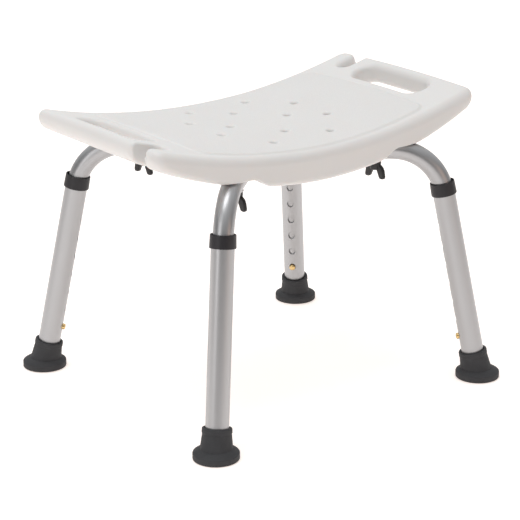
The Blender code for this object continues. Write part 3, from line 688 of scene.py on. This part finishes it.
def surface_net(low, high, voxel):
    """A closed quad mesh where the field crosses zero: one point in each cell that it passes through."""
    axes = [np.arange(low[i], high[i] + voxel, voxel) for i in range(3)]
    shape = tuple(len(axis) for axis in axes)
    field = np.empty(shape)
    for i, x in enumerate(axes[0]):
        y, z = np.meshgrid(axes[1], axes[2], indexing="ij")
        field[i] = seat_field(np.full(y.shape, x), y, z)
    inside = field < 0
    cells = tuple(n - 1 for n in shape)
    count = np.zeros(cells, dtype=np.int8)
    corners = [(i, j, k) for i in (0, 1) for j in (0, 1) for k in (0, 1)]
    for i, j, k in corners:
        count += inside[i:i + cells[0], j:j + cells[1], k:k + cells[2]]
    active = np.argwhere((count > 0) & (count < 8))
    index = np.full(cells, -1, dtype=np.int64)
    index[tuple(active.T)] = np.arange(len(active))
    total = np.zeros((len(active), 3))
    hits = np.zeros(len(active))
    for a in corners:
        for axis in range(3):
            if a[axis]:
                continue
            b = tuple(v + (i == axis) for i, v in enumerate(a))
            fa = field[tuple((active + a).T)]
            fb = field[tuple((active + b).T)]
            crosses = (fa < 0) != (fb < 0)
            share = np.where(crosses, fa / np.where(crosses, fa - fb, 1.0), 0.0)
            place = np.tile(np.array(a, dtype=float), (len(active), 1))
            place[:, axis] += share
            total[crosses] += place[crosses]
            hits[crosses] += 1
    points = (active + total / hits[:, None]) * voxel + np.array([axis[0] for axis in axes])
    quads = []
    for axis in range(3):
        u, v = (axis + 1) % 3, (axis + 2) % 3
        first = [slice(0, n) for n in shape]
        second = [slice(0, n) for n in shape]
        first[axis], second[axis] = slice(0, -1), slice(1, None)
        edges = np.argwhere(inside[tuple(first)] != inside[tuple(second)])
        leaving = inside[tuple(edges.T)]
        ring = []
        for du, dv in ((-1, -1), (0, -1), (0, 0), (-1, 0)):
            cell = edges.copy()
            cell[:, u] += du
            cell[:, v] += dv
            ring.append(index[tuple(cell.T)])
        ring = np.array(ring).T
        ring[~leaving] = ring[~leaving][:, ::-1]
        quads.append(ring)
    return points, np.concatenate(quads)


def project(points, rounds=3):
    """Move each point onto the surface along the field's slope."""
    for _ in range(rounds):
        value = seat_field(*points.T)
        slope = field_normal(points)
        size = np.maximum((slope ** 2).sum(1), 0.25)
        move = -(value / size)[:, None] * slope
        length = np.linalg.norm(move, axis=1, keepdims=True)
        points = points + move * np.minimum(1.0, 0.4 * VOXEL / np.maximum(length, 1e-9))
    return points


def quad_piece(name, points, quads):
    mesh = bpy.data.meshes.new(name)
    mesh.vertices.add(len(points))
    mesh.vertices.foreach_set("co", points.ravel())
    mesh.loops.add(quads.size)
    mesh.loops.foreach_set("vertex_index", quads.ravel().astype(np.int32))
    mesh.polygons.add(len(quads))
    mesh.polygons.foreach_set("loop_start", np.arange(0, quads.size, 4, dtype=np.int32))
    mesh.update(calc_edges=True)
    mesh.validate()
    return add_piece(name, mesh)


def thin_out(piece, ratio):
    step = piece.modifiers.new("thin", "DECIMATE")
    step.ratio = ratio
    graph = bpy.context.evaluated_depsgraph_get()
    piece.data = bpy.data.meshes.new_from_object(piece.evaluated_get(graph))
    piece.modifiers.clear()


def mark_grain_and_drain_highlight(mesh, points, normals):
    """Mark the points of the grained panel, but not those in and round its drain holes: the grain's darkening
    spares the drain rims, so their colour is left lighter as a painted highlight.
    """
    panel = mesh.attributes.new("panel", "FLOAT", "POINT")
    facing = np.clip(normals[:, 2] * 3 - 1.5, 0.0, 1.0)
    over = points[:, 2] > UNDER_Z + UNDER_RISE * (points[:, 0] / LENGTH) ** 2 + PANEL_ABOVE
    share = np.clip(-panel_distance(points[:, 0], points[:, 1]) / PANEL_FADE, 0.0, 1.0)
    # painted highlight: the drain rims are cut out of the grain mask, so their colour stays lighter than the
    # panel's
    for px, py in DRAINS:
        away = np.hypot(np.abs(points[:, 0]) - px, np.abs(points[:, 1]) - py) - DRAIN_R - DRAIN_ROLL
        share = np.minimum(share, np.clip(away / PANEL_FADE + 1.0, 0.0, 1.0))
    panel.data.foreach_set("value", (facing * over * share).astype(np.float32))


def seat():
    """A net over the field, drawn onto it and thinned out, with the field's own normals."""
    low = (-LENGTH - NET_SIDE, -WIDTH - NET_SIDE, RIM_Z - NET_BELOW)
    high = (LENGTH + NET_SIDE, WIDTH + NET_SIDE, TOP_Z + TOP_RISE + NET_SIDE)
    points, quads = surface_net(low, high, VOXEL)
    piece = quad_piece("seat_shell", project(points), quads)
    thin_out(piece, SEAT_TRIANGLES / (2 * len(quads)))
    mesh = piece.data
    mesh.shade_smooth()
    points = np.empty(len(mesh.vertices) * 3)
    mesh.vertices.foreach_get("co", points)
    points = points.reshape(-1, 3)
    normals = field_normal(points)
    normals /= np.linalg.norm(normals, axis=1, keepdims=True)
    mesh.normals_split_custom_set_from_vertices(normals)
    mark_grain_and_drain_highlight(mesh, points, normals)
    settle(piece, "frame", SEAT_MAT, "seat_plastic", "seat")


# ---------------------------------------------------------------- tubes


def mark_drawn(piece, values):
    """Keep, for each point, its place round the tube and a much shortened place along it."""
    layer = piece.data.attributes.new("drawn", "FLOAT_VECTOR", "POINT")
    layer.data.foreach_set("vector", np.array(values, dtype=np.float32).ravel())


def cross_stations(lap_side):
    """Stations along a cross tube: radius, height, tilt, and the section's half width and half height."""
    half = []
    for along in (UPPER_END, LEG_MIDDLE, BEND_START):
        half.append((FOOT_RADIUS - along * math.sin(LEAN), along * math.cos(LEAN), LEAN, UPPER_R, UPPER_R))
    for i in range(1, BEND_STEPS + 1):
        tilt = LEAN + TURN * i / BEND_STEPS
        radius, height = BEND_U + BEND_R * math.cos(tilt), BEND_Z + BEND_R * math.sin(tilt)
        half.append((radius, height, tilt, UPPER_R, UPPER_R))
    half.append((RUN_MIDDLE, RUN_Z, math.pi / 2, UPPER_R, UPPER_R))
    for i in range(LAP_STEPS + 1):
        press = i / LAP_STEPS
        ease = press * press * (3 - 2 * press)
        half.append((
            LAP_FADE + (LAP_FLAT - LAP_FADE) * press,
            RUN_Z + lap_side * LAP_OFFSET * ease,
            math.pi / 2,
            UPPER_R + (LAP_HALF_WIDTH - UPPER_R) * ease,
            UPPER_R + (LAP_HALF_HEIGHT - UPPER_R) * ease,
        ))
    other = [(-r, z, math.pi - tilt, wide, tall) for r, z, tilt, wide, tall in half]
    return half + other[::-1]


def flat_section(angle, wide, tall, flatness):
    """A point of a tube's section, from a circle to a pressed stadium."""
    c, s = math.cos(angle), math.sin(angle)
    power = 1.0 - LAP_SQUARENESS * flatness
    return (wide * math.copysign(abs(c) ** power, c), tall * math.copysign(abs(s) ** power, s))


def sweep_faces(count):
    """The faces of a swept tube, first its outside and then its bore, with both its ends closed."""
    faces = []
    for wall in (0, 1):
        for k in range(count - 1):
            a = (wall * count + k) * SIDES
            faces += ring_faces(a, a + SIDES)
    for k in (0, count - 1):
        faces += ring_faces(k * SIDES, (count + k) * SIDES)
    return faces


def ring_faces(a, b):
    faces = []
    for i in range(SIDES):
        j = (i + 1) % SIDES
        faces.append((a + i, a + j, b + j, b + i))
    return faces


def tube_cutters(corners):
    """Holes for the centre bolt, and for the screw and the button at each of a tube's two corners."""
    cutters = [rod("cut_bolt", BOLT_HOLE_R, RUN_Z - CUT_REACH, RUN_Z + CUT_REACH)]
    for corner in corners:
        cut = rod("cut_screw", SCREW_HOLE_R, RUN_Z - CUT_REACH, RUN_Z + CUT_REACH)
        cut.data.transform(Matrix.Translation(screw_point(corner)))
        cutters.append(cut)
        cut = rod("cut_button", HOLE_R, *BUTTON_CUT)
        cut.data.transform(button_matrix(corner))
        cutters.append(cut)
    return cutters


def cross_tube(corner, opposite, lap_side):
    """A tube from one corner's leg to the opposite one's, pressed flat where it crosses the other tube."""
    name = f"cross_tube_{corner}"
    side_x, side_y = CORNERS[corner]
    along = Vector((side_x * math.cos(DIAGONAL), side_y * math.sin(DIAGONAL), 0))
    across = Vector((-along.y, along.x, 0))
    stations = cross_stations(lap_side)
    runs = [0.0]
    for before, after in zip(stations, stations[1:]):
        runs.append(runs[-1] + math.hypot(after[0] - before[0], after[1] - before[1]))
    points, drawn = [], []
    for inset in (0.0, UPPER_WALL):
        for (radius, height, tilt, wide, tall), run in zip(stations, runs):
            way = along * math.cos(tilt) + Vector((0, 0, math.sin(tilt)))
            centre = along * radius + Vector((0, 0, height))
            flatness = (UPPER_R - tall) / (UPPER_R - LAP_HALF_HEIGHT)
            for i in range(SIDES):
                angle = 2 * math.pi * i / SIDES
                a, b = flat_section(angle, wide - inset, tall - inset, flatness)
                points.append(centre + across * a + way * b)
                drawn.append((UPPER_R * math.cos(angle), UPPER_R * math.sin(angle), run * DRAWN_SHORTENING))
    piece = mesh_object(name, points, sweep_faces(len(stations)), 40)
    mark_drawn(piece, drawn)
    outward(piece)
    boolean(piece, tube_cutters((corner, opposite)))
    smooth(piece, 40)
    settle(piece, "frame", ALU, "aluminium", name)


def lower_tube(corner):
    """A straight tube with a row of holes whose edges are countersunk."""
    name = f"lower_tube_{corner}"
    piece = lathe(name, [
        (LOWER_R - EDGE, LOWER_END), (LOWER_R, LOWER_END - EDGE),
        (LOWER_R, LOWER_START + EDGE), (LOWER_R - EDGE, LOWER_START),
        (LOWER_BORE, LOWER_START), (LOWER_BORE, LOWER_END),
    ])
    drawn = []
    for vertex in piece.data.vertices:
        drawn.append((vertex.co.x, vertex.co.y, vertex.co.z * DRAWN_SHORTENING))
    mark_drawn(piece, drawn)
    cuts = []
    for i in range(HOLE_COUNT):
        cut = lathe("cut_hole", [
            (0, HOLE_INNER), (HOLE_R, HOLE_INNER), (HOLE_R, LOWER_R - HOLE_SINK),
            (HOLE_R + HOLE_FLARE, LOWER_R + HOLE_PAST), (0, LOWER_R + HOLE_PAST),
        ], SIDES // 2)
        cut.data.transform(hole_matrix(BUTTON_S + i * HOLE_PITCH))
        cuts.append(cut)
    boolean(piece, cuts)
    smooth(piece, 32)
    piece.data.transform(leg_matrix(corner))
    settle(piece, f"leg_{corner}", ALU, "aluminium", name)


def collar(corner):
    bore = LOWER_R + GAP
    outline = [
        (bore, COLLAR_END), (COLLAR_R - COLLAR_TAPER[0], COLLAR_END),
        (COLLAR_R, COLLAR_START + COLLAR_TAPER[1]), (COLLAR_R, COLLAR_START), (bore, COLLAR_START),
    ]
    profile = rounded(outline, COLLAR_RADII, 5)
    piece = lathe(f"collar_{corner}", profile, matrix=leg_matrix(corner), sharp=30)
    settle(piece, f"leg_{corner}", COLLAR_MAT, "collar_plastic", f"collar_{corner}")


def foot_flange():
    """The level base of a foot, with tread rings under it."""
    outline = [(0, CREASE_Z)] + [(CUP_LOW_R + out, CREASE_Z + rise) for out, rise in CREASE]
    outline += [(FLANGE_R, FLANGE_EDGE_Z), (FLANGE_R, 0.0)]
    for outer, inner in TREAD_RINGS:
        outline += [(outer, 0.0), (outer, TREAD_DEPTH), (inner, TREAD_DEPTH), (inner, 0.0)]
    outline += [(TREAD_HUB_R, 0.0), (TREAD_HUB_R, TREAD_DEPTH), (0, TREAD_DEPTH)]
    edges = len(outline) - len(FLANGE_RADII) - 1
    return rounded(outline, [*FLANGE_RADII, *[EDGE] * edges, 0], 5)


def foot_cup():
    outline = [
        (0, CUP_TOP), (CUP_R, CUP_TOP), (CUP_R + CUP_LIP_FLARE, CUP_TOP - CUP_LIP),
        (CUP_R - CUP_STEP[0], CUP_TOP - CUP_LIP - CUP_STEP[1]), (CUP_LOW_R, CREASE_Z + CUP_ROOT),
        (CUP_LOW_R + CUP_ROOT, CUP_START), (0, CUP_START),
    ]
    return rounded(outline, CUP_RADII, 5)


def foot_bore():
    flare, below, past = CUP_MOUTH
    outline = [
        (0, CUP_BORE_START), (LOWER_R + GAP, CUP_BORE_START), (LOWER_R + GAP, CUP_TOP - below),
        (LOWER_R + flare, CUP_TOP + past), (0, CUP_TOP + past),
    ]
    return rounded(outline, (0, 0, CUP_MOUTH_ROLL, 0, 0))


def foot(corner):
    """A rubber tip: a level flange, and a lipped cup that leans with the leg."""
    piece = lathe(f"foot_{corner}", foot_flange())
    piece.data.transform(Matrix.Translation(foot_point(corner)))
    cup = lathe("cup", foot_cup(), matrix=leg_matrix(corner))
    bore = lathe("bore", foot_bore(), matrix=leg_matrix(corner))
    boolean(piece, [cup], "UNION")
    boolean(piece, [bore])
    smooth(piece, 35)
    settle(piece, f"leg_{corner}", RUBBER, "rubber", f"foot_{corner}")


def snap_button(corner):
    profile = []
    for degrees in range(0, 91, 10):
        angle = math.radians(degrees)
        profile.append((BUTTON_R * math.sin(angle), BUTTON_OUTER - BUTTON_DOME * (1 - math.cos(angle))))
    profile += [(BUTTON_R, BUTTON_INNER), (0, BUTTON_INNER)]
    piece = lathe(f"snap_button_{corner}", profile, SMALL_SIDES, button_matrix(corner), 35)
    settle(piece, f"button_{corner}", BRASS, "brass", f"snap_button_{corner}")


def snap_spring(corner):
    """The bent strip inside an upper tube, with its arm behind the button, remeshed more finely from its CAD
    node.
    """
    node = f"snap_spring_{corner}"
    kept = frame["nodes"][node]
    bm = bmesh.new()
    bm.from_mesh(kept.data)
    bm.transform(kept.matrix_world)
    bmesh.ops.remove_doubles(bm, verts=bm.verts, dist=1e-6)
    bmesh.ops.dissolve_limit(bm, angle_limit=0.01, verts=bm.verts, edges=bm.edges)
    long_edges = [e for e in bm.edges if e.calc_length() > 2 * SPRING_STEP]
    bmesh.ops.subdivide_edges(bm, edges=long_edges, cuts=SPRING_CUTS, use_grid_fill=True)
    bmesh.ops.triangulate(bm, faces=bm.faces)
    mesh = bpy.data.meshes.new(node)
    bm.to_mesh(mesh)
    bm.free()
    piece = add_piece(node, mesh)
    smooth(piece, 40)
    mesh.materials.append(STEEL)
    way = button_matrix(corner)
    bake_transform(piece)
    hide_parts(node)


# ---------------------------------------------------------------- screws

def wing_knob(corner):
    """A moulded head with a skirt and two rounded wings, below its washer."""
    low_box, high_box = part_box(f"wing_knob_{corner}")
    foot_z, top = low_box[2], high_box[2]
    low = top - KNOB_HUB_HEIGHT
    outline = [(0, top), (KNOB_HUB_R, top), (KNOB_HUB_R, top - KNOB_SKIRT), (KNOB_NECK_R, low), (0, low)]
    piece = lathe(f"wing_knob_{corner}", rounded(outline, KNOB_RADII, 5), SMALL_SIDES)
    outline = [(WING_ROOT[0], low + WING_ROOT[1]), (WING_ROOT[0], top - WING_EDGE[0][1])]
    outline += [(reach, top - drop) for reach, drop in WING_EDGE]
    outline += [(WING_SPAN, foot_z + WING_TOE)] + [(reach, foot_z) for reach in WING_FOOT]
    outline.append((WING_CREASE, low))
    wing = rounded(outline, WING_RADII)
    wings = [slab("wing", [(side * x, z) for x, z in wing]) for side in (1, -1)]
    boolean(piece, wings, "UNION")
    boolean(piece, [rod("bore", THREAD_HOLE_R, low - CUT_REACH, top + CUT_REACH)])
    smooth(piece, 38)
    piece.data.transform(Matrix.Translation(screw_point(corner)) @ Matrix.Rotation(KNOB_TURN, 4, "Z"))
    settle(piece, f"screw_{corner}", KNOB_MAT, "knob_plastic", f"wing_knob_{corner}")


def thread(z, low):
    """The outline of a screw's thread from z down to low, and the height that it ends at."""
    profile = []
    while z > low:
        profile += [(STUD_R, z), (STUD_R, z - THREAD_LAND)]
        profile += [(THREAD_ROOT_R, z - THREAD_FLANK), (THREAD_ROOT_R, z - THREAD_FLOOR)]
        z -= THREAD_PITCH
    return profile, z


def knob_stud(corner):
    low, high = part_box(f"knob_stud_{corner}")
    ribs, end = thread(high[2] - THREAD_START, low[2] + STUD_PLAIN)
    profile = [(0, high[2]), (STUD_TIP_R, high[2])] + ribs + [(STUD_R, end), (STUD_R, low[2]), (0, low[2])]
    piece = lathe(f"knob_stud_{corner}", profile, SIDES // 2, Matrix.Translation(screw_point(corner)), 20)
    settle(piece, f"screw_{corner}", STEEL, "steel", f"knob_stud_{corner}")


def washer(node, body, place, inner):
    low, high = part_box(node)
    outline = [(WASHER_R, high[2]), (WASHER_R, low[2]), (inner, low[2]), (inner, high[2])]
    piece = lathe(node, rounded(outline, EDGE), WASHER_SIDES, Matrix.Translation(place), 30)
    settle(piece, body, STEEL, "steel", node)


def seat_insert(corner):
    """A knurled bush with a waist and a plain collar at its mouth."""
    low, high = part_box(f"seat_insert_{corner}")
    z0, z1 = low[2], high[2]
    outline = [(INSERT_R, z1)]
    for drop, radius in zip(INSERT_WAIST, (INSERT_R, INSERT_WAIST_R, INSERT_WAIST_R, INSERT_R)):
        outline.append((radius, z1 - drop))
    outline += [(INSERT_R, z0), (THREAD_HOLE_R, z0), (THREAD_HOLE_R, z1)]
    piece = lathe(f"seat_insert_{corner}", rounded(outline, EDGE, 3), 2 * INSERT_RIBS, sharp=25)
    for vertex in piece.data.vertices:
        radius = math.hypot(vertex.co.x, vertex.co.y)
        if radius > (INSERT_R + INSERT_WAIST_R) / 2 and vertex.co.z > z0 + INSERT_PLAIN:
            turn = math.atan2(vertex.co.y, vertex.co.x)
            scale = 1 - INSERT_RIB_DEPTH * (0.5 + 0.5 * math.cos(INSERT_RIBS * turn))
            vertex.co.x *= scale
            vertex.co.y *= scale
    piece.data.transform(Matrix.Translation(screw_point(corner)))
    settle(piece, "frame", BRASS, "brass", f"seat_insert_{corner}")


def hex_head(node, z0, z1):
    """A hexagon with its corners turned down."""
    piece = lathe(node, [(0, z0), (HEX_R, z0), (HEX_R, z1), (0, z1)], 6)
    inner, outer = HEX_R * HEX_FACE, HEX_R * HEX_PAST
    turned = lathe("turned", [
        (0, z0 - OVERLAP), (inner, z0 - OVERLAP), (outer, z0 + HEX_CHAMFER),
        (outer, z1 - HEX_CHAMFER), (inner, z1 + OVERLAP), (0, z1 + OVERLAP),
    ], SMALL_SIDES)
    return boolean(piece, [turned], "INTERSECT")


def centre_fixing():
    """The bolt, nut and washer that hold the crossing tubes together."""
    low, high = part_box("centre_bolt")
    head_top = low[2] + BOLT_HEAD
    root = head_top - BOLT_SINK
    ribs, end = thread(high[2] - BOLT_START, RUN_Z)
    profile = [(0, high[2]), (BOLT_TIP_R, high[2])] + ribs + [(STUD_R, end), (STUD_R, root), (0, root)]
    bolt = boolean(hex_head("centre_bolt", low[2], head_top), [lathe("shank", profile, SIDES // 2)], "UNION")
    low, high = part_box("centre_nut")
    bore = rod("bore", THREAD_HOLE_R, low[2] - CUT_REACH, high[2] + CUT_REACH)
    nut = boolean(hex_head("centre_nut", low[2], high[2]), [bore])
    for name, piece in (("centre_bolt", bolt), ("centre_nut", nut)):
        smooth(piece, 28)
        settle(piece, "frame", STEEL, "steel", name)
    washer("centre_washer", "frame", Vector(), BOLT_HOLE_R)


# ---------------------------------------------------------------- stage, lights, camera

def floor():
    low, high = -FLOOR_HALF, FLOOR_HALF
    corners = [(low, low, FLOOR_Z), (high, low, FLOOR_Z), (high, high, FLOOR_Z), (low, high, FLOOR_Z)]
    piece = mesh_object("floor", corners, [(0, 1, 2, 3)], 40)
    n = Nodes("pale_floor")
    tone = n.mix(n.noise(n.coords(), scale=2.0), (0.86, 0.86, 0.86), (0.89, 0.89, 0.89))
    piece.data.materials.append(n.finish(tone, 0.9, Specular_IOR_Level=0.1, Emission_Strength=FLOOR_GLOW,
                                         Emission_Color=(1.0, 0.86, 0.78, 1.0)))


def area_light(name, place, aim, size, power, colour=(1, 1, 1)):
    lamp = bpy.data.lights.new(name, "AREA")
    lamp.shape = "RECTANGLE"
    lamp.size, lamp.size_y = size
    lamp.energy = power
    lamp.color = colour
    item = bpy.data.objects.new(name, lamp)
    item.location = place
    item.rotation_euler = (Vector(aim) - Vector(place)).to_track_quat("-Z", "Y").to_euler()
    bpy.context.scene.collection.objects.link(item)


def map_range(tree, source, start, end, low, high):
    made = tree.nodes.new("ShaderNodeMapRange")
    tree.links.new(source, made.inputs["Value"])
    for name, number in (("From Min", start), ("From Max", end), ("To Min", low), ("To Max", high)):
        made.inputs[name].default_value = number
    return made.outputs["Result"]


def world(horizon, zenith, backdrop):
    """A grey room that brightens towards its ceiling, with a pale backdrop at the rear right."""
    made = bpy.data.worlds.new("studio")
    made.use_nodes = True
    tree = made.node_tree
    background = tree.nodes["Background"]
    background.inputs["Color"].default_value = (1, 1, 1, 1)
    way = tree.nodes.new("ShaderNodeTexCoord").outputs["Generated"]
    split = tree.nodes.new("ShaderNodeSeparateXYZ")
    tree.links.new(way, split.inputs[0])
    towards = tree.nodes.new("ShaderNodeVectorMath")
    towards.operation = "DOT_PRODUCT"
    towards.inputs[1].default_value = BACKDROP_WAY
    tree.links.new(way, towards.inputs[0])
    both = tree.nodes.new("ShaderNodeMath")
    both.operation = "ADD"
    ceiling = map_range(tree, split.outputs["Z"], start=0.05, end=0.85, low=horizon, high=zenith)
    pale = map_range(tree, towards.outputs["Value"], start=-0.1, end=0.8, low=0.0, high=backdrop)
    tree.links.new(ceiling, both.inputs[0])
    tree.links.new(pale, both.inputs[1])
    tree.links.new(both.outputs[0], background.inputs["Strength"])
    bpy.context.scene.world = made


def camera():
    """Seen from the front left, a little above the seat, with a long lens."""
    lens = bpy.data.cameras.new("camera")
    lens.sensor_width = SENSOR
    lens.lens = LENS
    item = bpy.data.objects.new("camera", lens)
    turn = (AIM - EYE).to_track_quat("-Z", "Y").to_matrix().to_4x4()
    item.matrix_world = Matrix.Translation(EYE) @ turn @ Matrix.Rotation(ROLL, 4, "Z")
    bpy.context.scene.collection.objects.link(item)
    bpy.context.scene.camera = item


# ---------------------------------------------------------------- the stool and its stage

seat()
cross_tube("front_left", "rear_right", -1)
cross_tube("front_right", "rear_left", 1)
centre_fixing()
for corner in CORNERS:
    lower_tube(corner)
    collar(corner)
    foot(corner)
    snap_button(corner)
    wing_knob(corner)
    knob_stud(corner)
    washer(f"knob_washer_{corner}", f"washer_{corner}", screw_point(corner), SCREW_HOLE_R)
    seat_insert(corner)
    snap_spring(corner)
    kept = frame["nodes"][f"foot_washer_{corner}"]
    kept.data.materials.clear()
    kept.data.materials.append(STEEL)

floor()
world(horizon=0.13, zenith=0.68, backdrop=0.50)
area_light("overhead", place=(-0.3, 0.1, 2.5), aim=(0, 0, 0.3), size=(1.4, 1.4), power=21)
area_light("left_box", place=(-2.3, -0.4, 1.1), aim=(0, 0, 0.25), size=(0.9, 1.8), power=10,
           colour=(1.0, 0.98, 0.97))
area_light("front_box", place=(0.9, -2.4, 0.8), aim=(0, 0, 0.25), size=(1.4, 0.8), power=3,
           colour=(1.0, 0.66, 0.50))
camera()
bpy.context.scene.view_settings.view_transform = "Standard"
